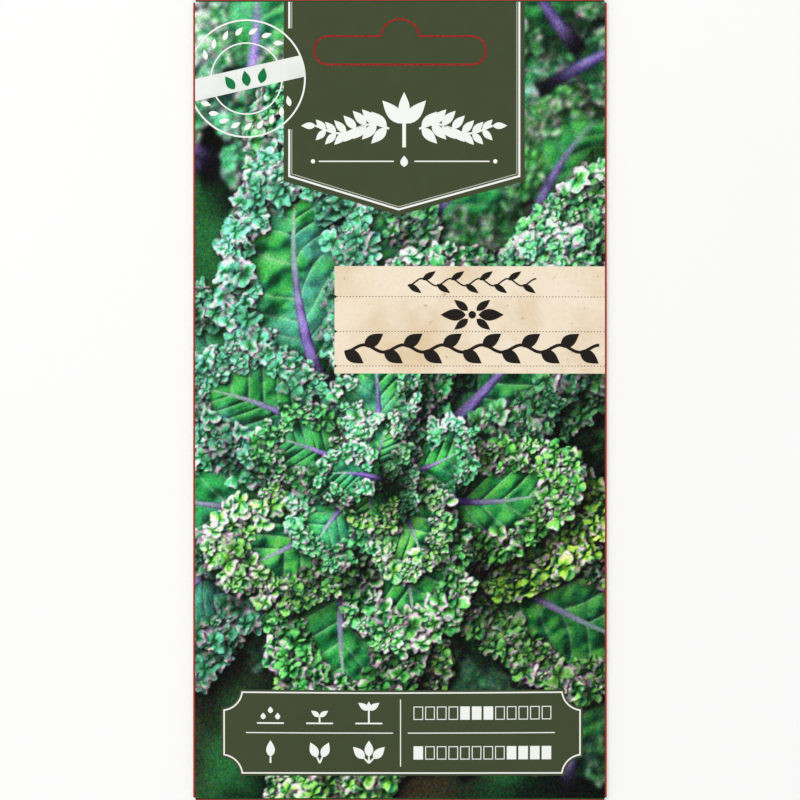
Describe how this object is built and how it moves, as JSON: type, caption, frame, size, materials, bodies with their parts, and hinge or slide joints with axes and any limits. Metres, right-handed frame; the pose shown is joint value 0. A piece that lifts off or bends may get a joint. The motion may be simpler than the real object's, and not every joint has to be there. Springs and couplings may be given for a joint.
{
  "type": "seed packet",
  "caption": "Flat paper seed packet, folded from one sheet and glued shut, with a printed leafy front, a die-cut hang slot and loose seeds inside.",
  "frame": {"origin": "centre of the packet's outline, on the plane it lies on", "axes": "+Y along the packet towards the hang slot, +Z out of the printed front, +X to the right seen from the front"},
  "size_m": [0.08, 0.155, 0.0053],
  "materials": {
    "printed_paper": "coated paper printed in full colour outside, satin, plain white inside",
    "seed": "dry dark brown seed coat",
    "dried_glue": "thin dried dispersion glue"
  },
  "bodies": {
    "root": {"paper_sheet": "printed_paper", "seed_heap": "seed", "glue_back_seam": "dried_glue", "glue_bottom_flap": "dried_glue", "glue_top_flap": "dried_glue"}
  },
  "joints": []
}
